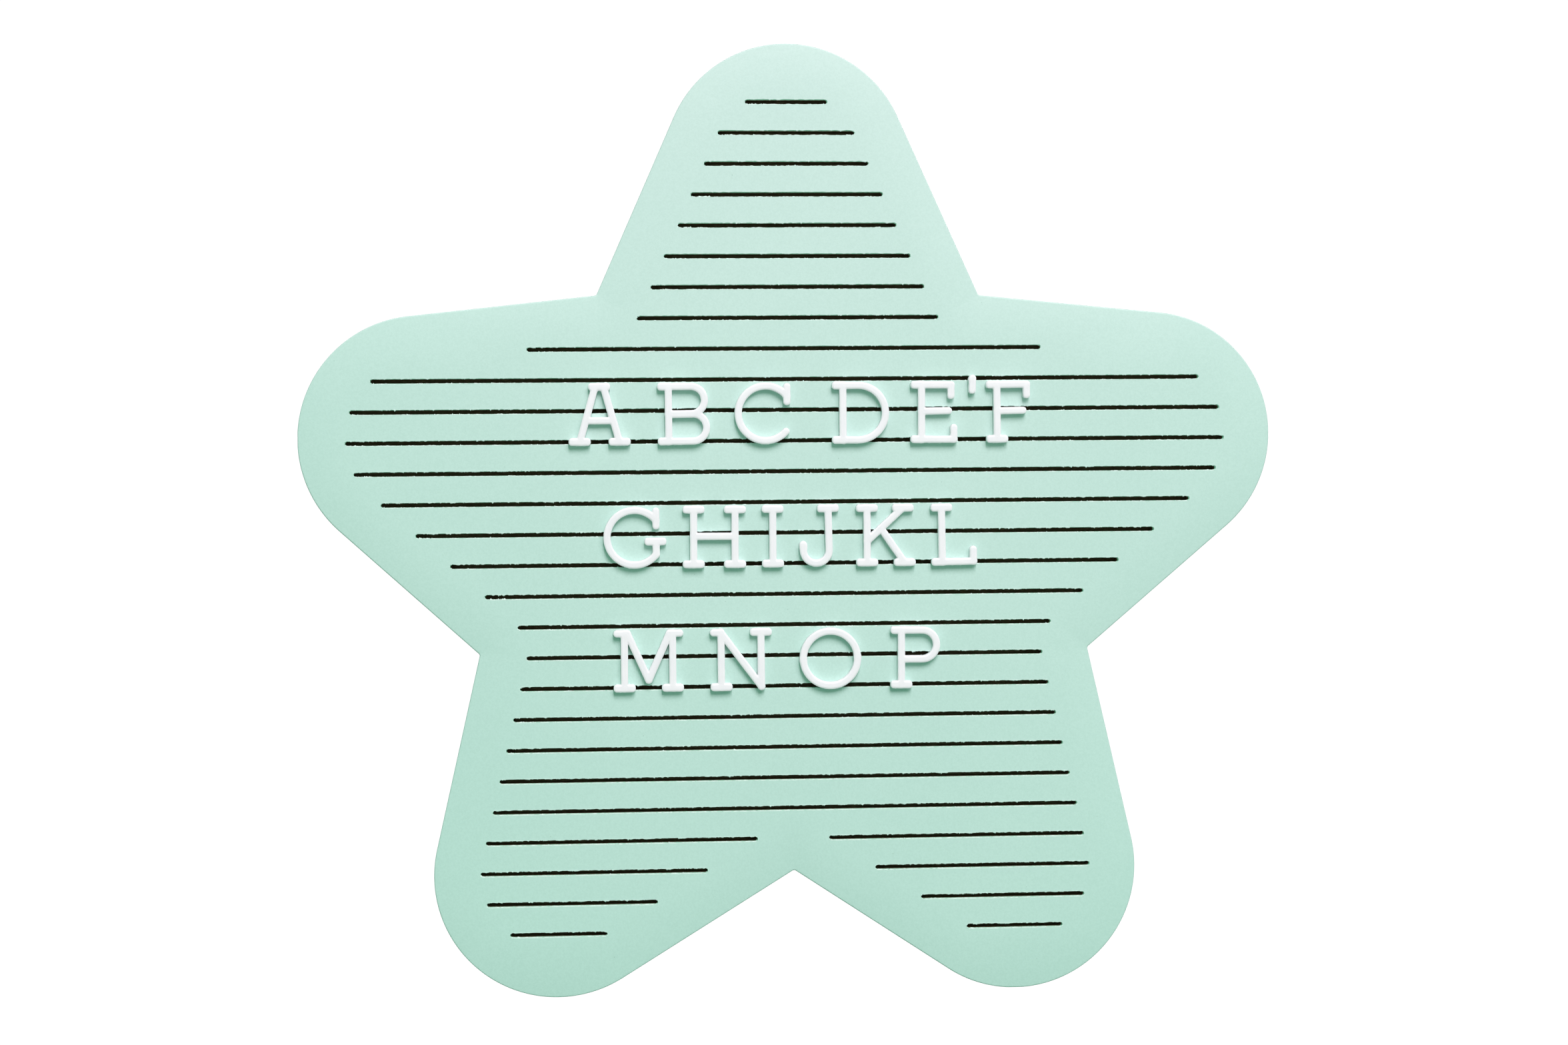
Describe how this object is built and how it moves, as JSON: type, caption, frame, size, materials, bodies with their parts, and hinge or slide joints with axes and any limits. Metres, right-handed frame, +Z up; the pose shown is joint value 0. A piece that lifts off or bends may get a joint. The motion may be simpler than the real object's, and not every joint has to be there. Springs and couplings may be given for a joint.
{
  "type": "star letter board",
  "caption": "Star-shaped wall board with horizontal grooves that hold push-in slab-serif letters, and a sawtooth hanger on its back.",
  "frame": {"origin": "middle notch of the sawtooth hanger, on the wall plane", "axes": "+Z up, -Y out of the painted face, +X to the viewer's right"},
  "size_m": [0.302, 0.0143, 0.2947],
  "materials": {
    "mint_paint": "satin mint paint on MDF, dark grooves, bare brown back",
    "letter_white": "satin moulded white plastic",
    "hanger_steel": "stamped and plated",
    "nail_steel": "plated"
  },
  "bodies": {
    "root": {"star_board": "mint_paint", "letter_A": "letter_white", "letter_B": "letter_white", "letter_C": "letter_white", "letter_D": "letter_white", "letter_E": "letter_white", "letter_F": "letter_white", "letter_G": "letter_white", "letter_H": "letter_white", "letter_I": "letter_white", "letter_J": "letter_white", "letter_K": "letter_white", "letter_L": "letter_white", "letter_M": "letter_white", "letter_N": "letter_white", "letter_O": "letter_white", "letter_P": "letter_white", "apostrophe": "letter_white", "sawtooth_hanger": "hanger_steel", "hanger_nail_left": "nail_steel", "hanger_nail_right": "nail_steel"}
  },
  "joints": []
}
